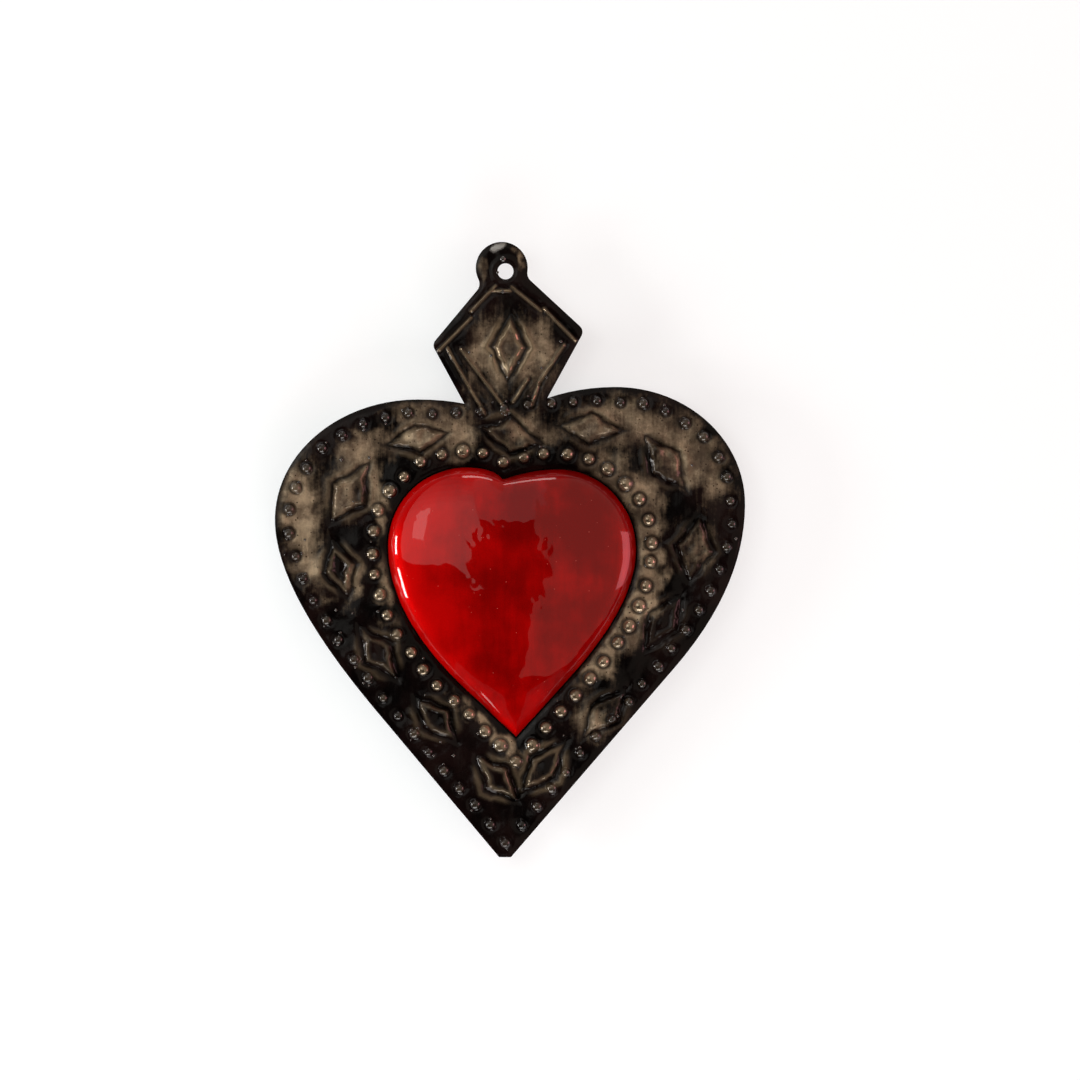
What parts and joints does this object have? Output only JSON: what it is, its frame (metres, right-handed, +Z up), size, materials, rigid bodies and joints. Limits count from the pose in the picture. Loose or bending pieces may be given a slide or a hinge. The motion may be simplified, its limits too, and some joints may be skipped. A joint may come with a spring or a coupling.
{
  "type": "tin heart ornament",
  "caption": "Embossed tin heart with a kite-shaped finial, a hanging tab and a domed red centre, made to hang on a wall.",
  "frame": {"origin": "on the axis of the hang hole, at the back face of the plate", "axes": "+Z up as it hangs, +Y towards the wall behind, front towards -Y, +X to the right seen from the front"},
  "size_m": [0.094, 0.0084, 0.123],
  "materials": {
    "dark_tin": "tinplate with a dark brown patina, rubbed back on the high spots, under gloss varnish",
    "red_lacquer": "glossy translucent red lacquer over tinplate",
    "solder": "dull grey soft solder"
  },
  "bodies": {
    "root": {"heart_plate": "dark_tin", "domed_heart": "red_lacquer", "solder_tacks": "solder"}
  },
  "joints": []
}
